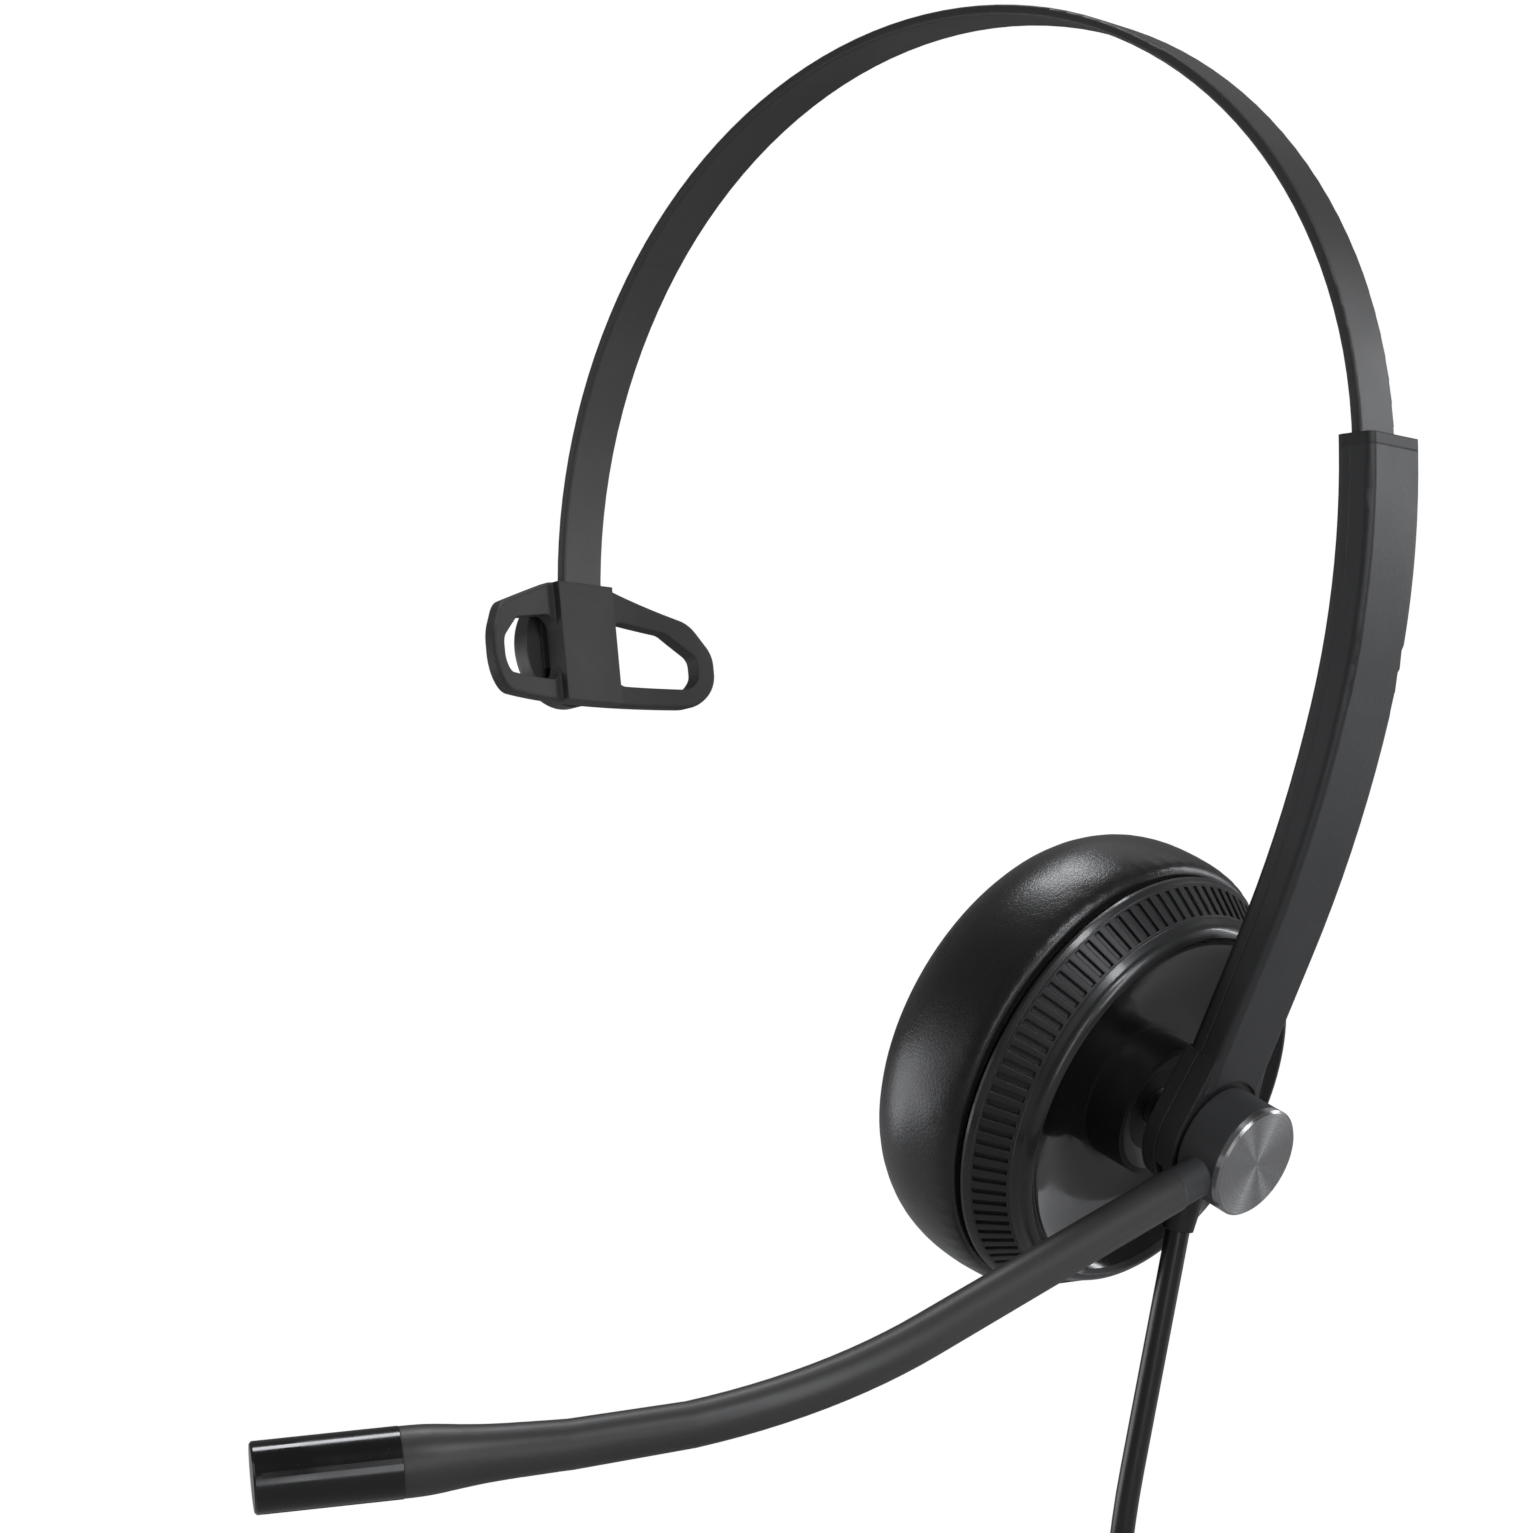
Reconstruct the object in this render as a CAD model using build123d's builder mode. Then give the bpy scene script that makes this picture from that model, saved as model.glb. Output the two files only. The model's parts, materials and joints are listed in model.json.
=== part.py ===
from build123d import *
from math import atan2, cos, degrees, pi, radians, sin, sqrt, tan
import os

os.makedirs("parts", exist_ok=True)

# One-ear office headset with a boom microphone and a USB lead.
# Origin: underside of the headband at its crown, where it rests on the head.
# +X points to the ear cup, -Y to the front (the side the boom points to), +Z up.

# ---- driving dimensions, millimetres and degrees ----
# headband: a spring-steel strip inside a moulded cover
band_width, band_thick = 7.6, 1.4
spring_width, spring_thick = 5.0, 0.6
band_edge_round = 0.35
temple_arcs = [(65.2, 65.9), (68.6, 50.0)]        # radius and angle, crown to temple pad
crown_radius, crown_angle = 61.9, 76.0            # crown to the slider
slide_radius = 112.0                              # the slider's arc: band and sleeve share it
slide_travel = 26.0                               # how far the sleeve pulls out
band_in_sleeve = 36.0                             # covered band beyond the start of the slide arc
stop_length, stop_width = 8.0, 8.6                # shoe on the band's end

# slider sleeve (arm)
arm_width, arm_thick = 10.8, 5.06
arm_offset = 0.7                                  # arm centre stands outboard of the band
arm_top = -1.15                                   # start of the arm, from the start of the slide arc
arm_arcs = [(107.0, 17.36), (160.0, 10.7)]         # radius and angle, top to bottom
arm_split = -0.5                                  # seam between the two shells, from the arm centre
arm_round = 1.0
slot_clearance = 0.3                              # gap round the band in the sleeve

# hub axis: the boom turns about it, the ear cup hangs on it
rim_centre = Vector(40.8, 0, -127.9)              # centre of the ear cup's rim circle
hub_tilt = 12.0                                   # the axis points outward and this much down
arm_plate = (10.7, 15.5)                          # arm end, along the hub axis from the rim
arm_end_radius = 7.4
hub_face, hub_top, hub_radius = 15.95, 21.5, 6.95
cap_thick, cap_radius = 1.0, 6.97
post_radius, post_gap = 3.0, 0.08
ball_offset, ball_radius, liner_wall, ball_gap = 4.2, 3.4, 0.8, 0.1
neck_radius = 2.0

# ear cup, along the hub axis from the rim (positive is away from the head)
rim_radius = 27.6
lip_offset, lip_radius = 7.1, 22.7
dish_floor, boss_radius, boss_top = 2.6, 8.5, 8.0
ridge_count = 96
cushion_radius, cushion_depth, cushion_hole = 29.0, 17.7, 13.5
cushion_round = 8.6
ring_gap = 0.5                                    # groove between cushion and cup

# boom
boom_angle = 24.7                                 # below the horizontal, pointing forward
boom_offset, boom_drop = 19.0, 0.5                 # its root, along the hub axis and below it
boom_radius = 2.6
boom_straight, boom_bend_radius, boom_bend = 52.0, 80.0, 32.2
boom_sleeve_end, boom_length = 115.5, 131.5
mic_radius = 3.95

# temple pad
pad_overlap = 6.1                                 # covered band inside the temple pad's block
pad_top, pad_bottom, pad_half_length = 7.9, -8.6, 22.1
pad_curve, pad_thick, pad_outboard = 56.0, 1.9, 0.7   # the wings bend round a circle of this radius
block_width, block_height = 9.4, 15.8
block_back, block_front = -3.0, 1.25              # depths from the band's centre line
pad_face, pad_side = 1.65, 0.7                    # rubber in front of the block, and beside it
pad_cap_radius, pad_cap_thick, pad_cap_drop = 8.0, 2.8, 0.5

# lead
cord_radius = 1.5
cord_x, cord_y = 51.7, 2.6
relief_top, relief_bottom = -138.0, -143.6
coil_mean_radius, coil_pitch = 16.0, 3.05
coil_layers, coil_rows = 4, 5                     # 17 turns and a bit: 1.8 m of lead in all


def turn(pose, radius, angle):
    """Pose (x, z, heading) at the end of an arc in the XZ plane; positive turns to the right."""
    x, z, heading = pose
    start = radians(heading)
    end = start - radians(angle)
    centre_x, centre_z = x + radius * sin(start), z - radius * cos(start)
    return centre_x - radius * sin(end), centre_z + radius * cos(end), degrees(end)


def cross_plane(pose):
    """Plane across a path in the XZ plane: local X is +Y, local Y is the outboard side."""
    x, z, heading = pose
    along = Vector(cos(radians(heading)), 0, sin(radians(heading)))
    return Plane(origin=(x, 0, z), x_dir=(0, 1, 0), z_dir=along)


def arc_path(pose, arcs):
    """Edges of tangent arcs in the XZ plane, each given by radius and angle to the right."""
    edges = []
    for radius, angle in arcs:
        middle = turn(pose, radius, angle / 2)
        after = turn(pose, radius, angle)
        edges.append(ThreePointArc((pose[0], 0, pose[1]), (middle[0], 0, middle[1]),
                                   (after[0], 0, after[1])))
        pose = after
    return Wire(edges), pose


def shifted(pose, outboard):
    """Pose moved sideways, to the left of its heading."""
    x, z, heading = pose
    return (x - outboard * sin(radians(heading)), z + outboard * cos(radians(heading)), heading)


# ---- reference frames ----
crown = (0.0, band_thick / 2, 0.0)
temple_crown = (0.0, band_thick / 2, 180.0)
slide_start = turn(crown, crown_radius, crown_angle)
slide_centre = (slide_start[0] + slide_radius * sin(radians(slide_start[2])),
                slide_start[1] - slide_radius * cos(radians(slide_start[2])))


def on_slide(distance):
    """Pose of the band's centre line on the slide arc, this far from its start."""
    return turn(slide_start, slide_radius, degrees(distance / slide_radius))


def slide_arc(start, end):
    """Path along the slide arc between two distances from its start."""
    return arc_path(on_slide(start), [(slide_radius, degrees((end - start) / slide_radius))])[0]


hub_out = Vector(cos(radians(hub_tilt)), 0, -sin(radians(hub_tilt)))
hub_down = Vector(-sin(radians(hub_tilt)), 0, -cos(radians(hub_tilt)))
front = Vector(0, -1, 0)
hub_axis = Axis(rim_centre, hub_out)
hub_plane = Plane(origin=rim_centre, x_dir=front, z_dir=hub_out)      # local Y is down
profile_plane = Plane(origin=rim_centre, x_dir=front, z_dir=hub_down * -1)  # (radius, offset)


def at_hub(offset, forward=0.0, down=0.0):
    """Point given along the hub axis from the rim, and across it."""
    return rim_centre + hub_out * offset + front * forward + hub_down * down


# ================= headband =================
temple_path, temple_end = arc_path(temple_crown, [(-r, -a) for r, a in temple_arcs])
crown_path, _ = arc_path(crown, [(crown_radius, crown_angle)])
band_path, _ = arc_path(crown, [(crown_radius, crown_angle),
                                (slide_radius, degrees(band_in_sleeve / slide_radius))])
shoe_start = band_in_sleeve - 1.0
shoe_end = shoe_start + stop_length
spring_end = shoe_end - 1.5

with BuildPart() as headband_spring:
    for path in (temple_path,
                 arc_path(crown, [(crown_radius, crown_angle),
                                  (slide_radius, degrees(spring_end / slide_radius))])[0]):
        with BuildSketch(Plane.YZ):
            with Locations((0, band_thick / 2)):
                Rectangle(spring_width, spring_thick)
        sweep(path=path)
headband_spring.part.label = "headband_spring"

with BuildPart() as headband_cover:
    for path in (temple_path, band_path):
        with BuildSketch(Plane.YZ):
            with Locations((0, band_thick / 2)):
                RectangleRounded(band_width, band_thick, band_edge_round)
        sweep(path=path)
    add(headband_spring.part, mode=Mode.SUBTRACT)
headband_cover.part.label = "headband_cover"

# shoe riveted to the bare end of the spring; it stops the sleeve from pulling off
with BuildPart() as band_stop:
    with BuildSketch(cross_plane(on_slide(shoe_start + 1.0))):
        RectangleRounded(stop_width, band_thick, band_edge_round)
    sweep(path=slide_arc(shoe_start + 1.0, shoe_end))
    add(headband_spring.part, mode=Mode.SUBTRACT)
    rivet_pose = on_slide(shoe_start + 4.5)
    rivet_plane = Plane(origin=(rivet_pose[0], 0, rivet_pose[1]),
                        z_dir=(-sin(radians(rivet_pose[2])), 0, cos(radians(rivet_pose[2]))))
    with BuildSketch(rivet_plane):
        Circle(0.9)
    extrude(amount=band_thick / 2, both=True, mode=Mode.SUBTRACT)
band_stop.part.label = "band_stop"

with BuildPart() as stop_rivet:
    with BuildSketch(rivet_plane):
        Circle(0.9)
    extrude(amount=band_thick / 2, both=True)
stop_rivet.part.label = "stop_rivet"
headband_spring.part = headband_spring.part - stop_rivet.part
headband_spring.part.label = "headband_spring"

# ================= temple pad =================
pad_x, pad_z, pad_heading = turn(turn(temple_crown, -temple_arcs[0][0], -temple_arcs[0][1]),
                                 -temple_arcs[1][0], -temple_arcs[1][1] + degrees(pad_overlap / temple_arcs[1][0]))
pad_up = Vector(-cos(radians(pad_heading)), 0, -sin(radians(pad_heading)))
pad_in = Vector(0, 1, 0).cross(pad_up)
pad_centre = Vector(pad_x, 0, pad_z)
pad_plane = Plane(origin=pad_centre, x_dir=(0, 1, 0), z_dir=pad_in)    # local Y is up the band

# rubber T-shaped pad: two open loops, bent round the temple
with BuildPart() as temple_pad:
    with BuildSketch(pad_plane.offset(-4)):
        with BuildLine():
            Polyline((0, pad_top), (6.0, pad_top), (19.0, 3.5), (pad_half_length, -1.0),
                     (pad_half_length, -6.0), (18.8, pad_bottom), (0, pad_bottom))
            mirror(about=Plane.YZ)
        make_face()
        fillet(vertices().filter_by(lambda v: abs(v.X) > 12), 4.8)
        with BuildLine(mode=Mode.PRIVATE) as loop:
            Polyline((block_width / 2 + pad_side, 3.6), (15.0, 2.0), (19.5, -1.5), (19.5, -4.3),
                     (18.2, -6.0), (block_width / 2 + pad_side, -5.8), close=True)
        loop_face = Face(Wire(loop.edges()))
        loop_face = loop_face.fillet_2d(2.1, loop_face.vertices())
        add(loop_face, mode=Mode.SUBTRACT)
        add(loop_face.mirror(Plane.YZ), mode=Mode.SUBTRACT)
    extrude(amount=20)
    with BuildSketch(Plane(origin=pad_centre - pad_up * 12, x_dir=(0, 1, 0), z_dir=pad_up)):
        # local Y points outboard here, so the pad's centre of curvature is at -Y
        with Locations((0, pad_outboard - pad_curve)):
            Circle(pad_curve + pad_thick / 2)
            Circle(pad_curve - pad_thick / 2, mode=Mode.SUBTRACT)
    extrude(amount=24, mode=Mode.INTERSECT)
    with BuildSketch(pad_plane):
        with Locations((0, (pad_top + pad_bottom) / 2)):
            Rectangle(block_width + 2 * pad_side, pad_top - pad_bottom)
    extrude(amount=pad_face)
    fillet(edges().group_by(Axis(pad_centre, pad_in))[-1], 0.5)
    with BuildSketch(pad_plane.offset(block_back)):
        Rectangle(block_width, block_height)
    extrude(amount=block_front - block_back, mode=Mode.SUBTRACT)
temple_pad.part.label = "temple_pad"

# rigid block moulded on the band's end; the cap's snap arms sit in its two side pockets
tab_height, tab_depth, tab_thick, pocket_height = 6.8, 3.4, 0.8, 9.4
with BuildPart() as pad_block:
    with BuildSketch(pad_plane.offset(block_back)):
        Rectangle(block_width, block_height)
    extrude(amount=block_front - block_back)
    with BuildSketch(pad_plane.offset(block_back)):
        with GridLocations(block_width, 0, 2, 1):
            Rectangle(2 * tab_thick, pocket_height)
    extrude(amount=tab_depth, mode=Mode.SUBTRACT)
    with BuildSketch(Plane.YZ):
        with Locations((0, band_thick / 2)):
            RectangleRounded(band_width, band_thick, band_edge_round)
    sweep(path=temple_path, mode=Mode.SUBTRACT)
pad_block.part.label = "pad_block"

with BuildPart() as pad_cap:
    with BuildSketch(pad_plane.offset(block_back - pad_cap_thick)):
        with Locations((0, -pad_cap_drop)):
            Circle(pad_cap_radius)
    extrude(amount=pad_cap_thick)
    fillet(edges().filter_by(GeomType.CIRCLE).group_by(Axis(pad_centre, pad_in))[0], 0.9)
    with BuildSketch(pad_plane.offset(block_back)):
        with GridLocations(block_width - tab_thick, 0, 2, 1):
            Rectangle(tab_thick, tab_height)
    extrude(amount=tab_depth)
pad_cap.part.label = "pad_cap"

# ================= slider sleeve =================
arm_half = arm_thick / 2
collar_length = 1.4
collar_turn = degrees(collar_length / arm_arcs[0][0])
arm_start = shifted(on_slide(arm_top), arm_offset)
shell_start = turn(arm_start, arm_arcs[0][0], collar_turn)
shell_arcs = [(arm_arcs[0][0], arm_arcs[0][1] - collar_turn), arm_arcs[1]]
arm_path, arm_bend_end = arc_path(shell_start, shell_arcs)
bend_end = Vector(arm_bend_end[0], 0, arm_bend_end[1])
tail_way = Vector(cos(radians(arm_bend_end[2])), 0, sin(radians(arm_bend_end[2])))
tail_length = (bend_end - rim_centre).dot(hub_down * -1)
arm_line = Wire(arm_path.edges() + [Line(bend_end, bend_end + tail_way * tail_length)])
plate_seam = arm_plate[0] + arm_half + arm_split
flare_length = 10.0

with BuildPart() as band_channel:
    with BuildSketch(cross_plane(on_slide(arm_top - 1))):
        Rectangle(band_width + 2 * slot_clearance, band_thick + 2 * slot_clearance)
    sweep(path=slide_arc(arm_top - 1, 10))
    with BuildSketch(cross_plane(on_slide(7.4))):
        Rectangle(stop_width + 2 * slot_clearance, band_thick + 2 * slot_clearance)
    sweep(path=slide_arc(7.4, shoe_end + 1.2))

relief_plug_radius, relief_plug_length = 2.0, 4.5
with BuildPart() as cord_hole:
    with BuildSketch(Plane.XY.offset(relief_top)):
        with Locations((cord_x, cord_y)):
            Circle(relief_plug_radius)
    extrude(amount=relief_plug_length)
    with BuildSketch(Plane.XY.offset(relief_top)):
        with Locations((cord_x, cord_y)):
            Circle(relief_plug_radius)
    extrude(amount=-4)

# two countersunk screws hold the shells together from the inner side
screw_head_radius, screw_head_depth, screw_radius, screw_length = 1.4, 0.9, 0.7, 3.4
screw_planes = [
    Plane(origin=bend_end + tail_way * 3.0 + Vector(tail_way.Z, 0, -tail_way.X) * arm_half,
          x_dir=(0, 1, 0), z_dir=(-tail_way.Z, 0, tail_way.X)),
    Plane(origin=at_hub(arm_plate[0], 3.6, 3.2), x_dir=(0, 1, 0), z_dir=hub_out)]
with BuildPart() as arm_screws:
    for plane in screw_planes:
        with BuildSketch(plane):
            Circle(screw_head_radius)
        extrude(amount=screw_head_depth)
        with BuildSketch(plane):
            Circle(screw_radius)
        extrude(amount=screw_length)
arm_screws.part.label = "arm_screws"

# ball stud pressed into the inner shell; the ear cup swivels on its ball
stud_flange = 1.0
with BuildPart() as ball_stud:
    with BuildSketch(profile_plane):
        with BuildLine():
            reach = sqrt(ball_radius ** 2 - neck_radius ** 2)
            ball_arc = ThreePointArc((0, ball_offset - ball_radius), (ball_radius, ball_offset),
                                     (neck_radius, ball_offset + reach))
            Polyline(ball_arc @ 1, (neck_radius, arm_plate[0] - stud_flange),
                     (neck_radius + 1.2, arm_plate[0] - stud_flange), (neck_radius + 1.2, arm_plate[0]),
                     (neck_radius - 0.3, arm_plate[0]), (neck_radius - 0.3, plate_seam),
                     (0, plate_seam), ball_arc @ 0)
        make_face()
    revolve(axis=hub_axis)
ball_stud.part.label = "ball_stud"


def arm_shell(low, high, plate_low, plate_high):
    """One half of the sleeve between two depths, with its share of the round end."""
    with BuildPart() as shell:
        with BuildSketch(cross_plane(shell_start)):
            with Locations((0, (low + high) / 2)):
                Rectangle(arm_width, high - low)
            far = low if abs(low) > abs(high) else high
            fillet(vertices().filter_by(lambda v: abs(v.Y - far) < 1e-4), arm_round)
        sweep(path=arm_line, transition=Transition.RIGHT)
        with BuildSketch(hub_plane.offset(plate_low)):
            Circle(arm_end_radius)
            with Locations((0, -flare_length)):
                Rectangle(arm_width, 0.5)
            make_hull()
        extrude(amount=plate_high - plate_low)
        add(band_channel.part, mode=Mode.SUBTRACT)
        add(cord_hole.part, mode=Mode.SUBTRACT)
        add(arm_screws.part, mode=Mode.SUBTRACT)
        add(ball_stud.part, mode=Mode.SUBTRACT)
    return shell


arm_inner_shell = arm_shell(-arm_half, arm_split, arm_plate[0], plate_seam)
arm_inner_shell.part.label = "arm_inner_shell"

screw_pilot = 1.0
post_end = 20.2
spot_face_radius = arm_end_radius + 0.3
with BuildPart() as arm_outer_shell:
    add(arm_shell(arm_split, arm_half, plate_seam, arm_plate[1]).part)
    add(arm_inner_shell.part, mode=Mode.SUBTRACT)
    with BuildSketch(hub_plane.offset(arm_plate[1])):
        Circle(spot_face_radius)
    extrude(amount=3, mode=Mode.SUBTRACT)
    with BuildSketch(hub_plane.offset(arm_plate[1] - 0.5)):
        Circle(post_radius)
    extrude(amount=post_end - arm_plate[1] + 0.5)
    with BuildSketch(hub_plane.offset(post_end)):
        Circle(screw_pilot)
    extrude(amount=-5.5, mode=Mode.SUBTRACT)
    # pry slot in the seam, low on the front of the round end
    with BuildSketch(hub_plane.offset(plate_seam)):
        with PolarLocations(arm_end_radius, 1, start_angle=48):
            Rectangle(2.0, 3.0)
    extrude(amount=1.2, mode=Mode.SUBTRACT)
arm_outer_shell.part.label = "arm_outer_shell"

# nylon collar at the sleeve's mouth, round the band
with BuildPart() as arm_collar:
    with BuildSketch(cross_plane(arm_start)):
        RectangleRounded(arm_width, arm_thick, arm_round)
    sweep(path=arc_path(arm_start, [(arm_arcs[0][0], collar_turn)])[0])
    add(band_channel.part, mode=Mode.SUBTRACT)
arm_collar.part.label = "arm_collar"

washer_thick = 0.35
with BuildPart() as friction_washer:
    with BuildSketch(hub_plane.offset(arm_plate[1])):
        Circle(hub_radius - 0.6)
        Circle(post_radius + post_gap, mode=Mode.SUBTRACT)
    extrude(amount=washer_thick)
friction_washer.part.label = "friction_washer"

pivot_head_radius, pivot_head_thick = 4.2, 0.9
with BuildPart() as pivot_screw:
    with BuildSketch(hub_plane.offset(post_end)):
        Circle(pivot_head_radius)
    extrude(amount=pivot_head_thick)
    with BuildSketch(hub_plane.offset(post_end)):
        Circle(screw_pilot)
    extrude(amount=-5.5)
    with BuildSketch(hub_plane.offset(post_end + pivot_head_thick)):
        SlotOverall(4.0, 0.8)
        SlotOverall(4.0, 0.8, rotation=90)
    extrude(amount=-0.6, mode=Mode.SUBTRACT)
pivot_screw.part.label = "pivot_screw"

# ================= boom =================
boom_dir = front * cos(radians(boom_angle)) + hub_down * sin(radians(boom_angle))
boom_side = boom_dir.cross(hub_out)
boom_root = at_hub(boom_offset, 0, boom_drop)
neck_length, boom_neck_radius = 11.0, 2.45
# the boom bends inward in the plane of the hub axis
boom_mid = (boom_root + boom_dir * (boom_straight + boom_bend_radius * sin(radians(boom_bend / 2)))
            - hub_out * boom_bend_radius * (1 - cos(radians(boom_bend / 2))))
boom_bend_end = (boom_root + boom_dir * (boom_straight + boom_bend_radius * sin(radians(boom_bend)))
                 - hub_out * boom_bend_radius * (1 - cos(radians(boom_bend))))
mic_dir = boom_dir * cos(radians(boom_bend)) - hub_out * sin(radians(boom_bend))
bend_length = boom_bend_radius * radians(boom_bend)
mic_start = boom_sleeve_end - boom_straight - bend_length    # beyond the bend
mic_end = boom_length - boom_straight - bend_length

with BuildPart() as boom_hub:
    with BuildSketch(hub_plane.offset(hub_face)):
        Circle(hub_radius)
    extrude(amount=hub_top - hub_face)
    with BuildSketch(Plane(origin=boom_root, x_dir=hub_out, z_dir=boom_dir)):
        Circle(boom_neck_radius)
    extrude(amount=neck_length)
    with BuildSketch(hub_plane.offset(hub_face)):
        Circle(post_radius + post_gap)
    extrude(amount=hub_top - hub_face, mode=Mode.SUBTRACT)
    with BuildSketch(hub_plane.offset(hub_top)):
        Circle(pivot_head_radius + 0.3)
    extrude(amount=post_end - 0.1 - hub_top, mode=Mode.SUBTRACT)
boom_hub.part.label = "boom_hub"

with BuildPart() as pivot_cap:
    with BuildSketch(hub_plane.offset(hub_top)):
        Circle(cap_radius)
    extrude(amount=cap_thick)
    chamfer(edges().group_by(Axis(rim_centre, hub_out))[-1], 0.3)
pivot_cap.part.label = "pivot_cap"

# flexible stem, swelling into the microphone's sleeve
swell = [(0.0, 2.78), (5.0, 2.95), (9.0, 3.15), (12.5, 3.5), (15.5, 3.82), (mic_start, 3.9)]
with BuildPart() as boom_stem:
    with BuildSketch(Plane(origin=boom_root + boom_dir * neck_length, x_dir=hub_out, z_dir=boom_dir)):
        Circle(boom_radius)
    extrude(amount=boom_straight - neck_length)
    quarter = boom_bend * 0.7
    bend_point = (boom_root + boom_dir * (boom_straight + boom_bend_radius * sin(radians(quarter)))
                  - hub_out * boom_bend_radius * (1 - cos(radians(quarter))))
    half_bend = (boom_root + boom_dir * (boom_straight + boom_bend_radius * sin(radians(quarter / 2)))
                 - hub_out * boom_bend_radius * (1 - cos(radians(quarter / 2))))
    bend_dir = boom_dir * cos(radians(quarter)) - hub_out * sin(radians(quarter))
    with BuildSketch(Plane(origin=boom_root + boom_dir * boom_straight, x_dir=boom_side, z_dir=boom_dir)):
        Circle(boom_radius)
    sweep(path=Wire([ThreePointArc(boom_root + boom_dir * boom_straight, half_bend, bend_point)]))
    with BuildSketch(Plane(origin=bend_point, x_dir=boom_side, z_dir=bend_dir)):
        Circle(boom_radius)
    with BuildSketch(Plane(origin=boom_bend_end, x_dir=boom_side, z_dir=mic_dir)):
        Circle(swell[0][1])
    loft()
    with BuildSketch(Plane(origin=boom_bend_end, x_dir=boom_side, z_dir=mic_dir.cross(boom_side) * -1)):
        with BuildLine():
            edge = Spline([(r, s) for s, r in swell], tangents=[(0.02, 1), (0, 1)])
            Polyline(edge @ 1, (0, mic_start), (0, 0), edge @ 0)
        make_face()
    revolve(axis=Axis(boom_bend_end, mic_dir))
boom_stem.part.label = "boom_stem"

# glossy tip with the capsule inside; a shallow groove each side of the outer panel
mic_wall, mic_port_radius = 0.8, 0.55
mic_base = boom_bend_end + mic_dir * mic_start
mic_length = mic_end - mic_start
mouth_side = (hub_out * -1) * cos(radians(boom_bend)) - boom_dir * sin(radians(boom_bend))
with BuildPart() as mic_barrel:
    with BuildSketch(Plane(origin=mic_base, x_dir=mouth_side * -1, z_dir=mic_dir)):
        Circle(mic_radius)
    extrude(amount=mic_length)
    chamfer(edges().group_by(Axis(mic_base, mic_dir))[-1], 0.25)
    with BuildSketch(Plane(origin=mic_base, x_dir=mouth_side * -1, z_dir=mic_dir)):
        Circle(mic_radius - mic_wall)
    extrude(amount=mic_length - 1.0, mode=Mode.SUBTRACT)
    with BuildSketch(Plane(origin=mic_base + mic_dir * (mic_length - 6.5), x_dir=mic_dir,
                           z_dir=mouth_side)):
        with GridLocations(1.9, 1.7, 4, 2):
            Circle(mic_port_radius)
    extrude(amount=mic_radius + 1, mode=Mode.SUBTRACT)
    with BuildSketch(Plane(origin=mic_base, x_dir=mouth_side * -1, z_dir=mic_dir)):
        with PolarLocations(mic_radius, 4, start_angle=42, angular_range=276, endpoint=True):
            Rectangle(0.5, 0.6)
    extrude(amount=mic_length - 0.9, mode=Mode.SUBTRACT)
mic_barrel.part.label = "mic_barrel"

capsule_centre = mic_base + mic_dir * (mic_length - 6.5)
with BuildPart() as mic_capsule:
    with BuildSketch(Plane(origin=capsule_centre - mouth_side * 2.0, x_dir=mic_dir, z_dir=mouth_side)):
        Circle(2.0)
    extrude(amount=2.2)
mic_capsule.part.label = "mic_capsule"

with BuildPart() as mic_boot:
    with BuildSketch(Plane(origin=mic_base, x_dir=mouth_side, z_dir=mic_dir)):
        Circle(mic_radius - mic_wall)
    extrude(amount=mic_length - 1.0)
    add(mic_capsule.part, mode=Mode.SUBTRACT)
    with BuildSketch(Plane(origin=capsule_centre + mouth_side * 0.2, x_dir=mic_dir, z_dir=mouth_side)):
        Circle(1.8)
    extrude(amount=4, mode=Mode.SUBTRACT)
mic_boot.part.label = "mic_boot"

# ================= ear cup =================
cone_top = Vector(24.0, 5.9, 0)
cone_foot = Vector(rim_radius, 0.4, 0)
cone_way = (cone_top - cone_foot).normalized()
cone_out = Vector(-cone_way.Y, cone_way.X, 0) * -1
ring_low, ring_high, ring_seat = 0.75, 5.6, 0.5   # ridged ring along the cone, and how deep it sits
ridge_width, ridge_depth = 0.75, 0.4


def on_cone(along, out=0.0):
    """Profile point (radius, offset) on the cup's cone, and proud of it."""
    point = cone_foot + cone_way * along + cone_out * out
    return (point.X, point.Y)


shell_inside = 25.6
with BuildPart() as cup_shell:
    with BuildSketch(profile_plane):
        with BuildLine():
            Polyline((shell_inside, 0), (rim_radius, 0), on_cone(0), on_cone(ring_low),
                     on_cone(ring_low, -ring_seat), on_cone(ring_high, -ring_seat), on_cone(ring_high),
                     (24.0, 5.9))
            ThreePointArc((24.0, 5.9), (23.5, 6.75), (lip_radius, lip_offset))
            Polyline((lip_radius, lip_offset), (22.2, 6.2), (22.9, 4.6), (24.9, 1.2),
                     (shell_inside, 0))
        make_face()
    revolve(axis=hub_axis)
cup_shell.part.label = "cup_shell"

with BuildPart() as ridge_groove:
    with BuildSketch(profile_plane):
        with BuildLine():
            Polyline(on_cone(ring_low + 0.35, -ridge_depth), on_cone(ring_low + 0.35, 0.5),
                     on_cone(ring_high - 0.35, 0.5), on_cone(ring_high - 0.35, -ridge_depth), close=True)
        make_face()
    extrude(amount=ridge_width / 2, both=True)

with BuildPart() as grip_ring:
    with BuildSketch(profile_plane):
        with BuildLine():
            Polyline(on_cone(ring_low), on_cone(ring_high), on_cone(ring_high, -ring_seat),
                     on_cone(ring_low, -ring_seat), close=True)
        make_face()
    revolve(axis=hub_axis)
    grooves = [ridge_groove.part.rotate(hub_axis, 360 * i / ridge_count) for i in range(ridge_count)]
    add(grooves, mode=Mode.SUBTRACT)
grip_ring.part.label = "grip_ring"

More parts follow.
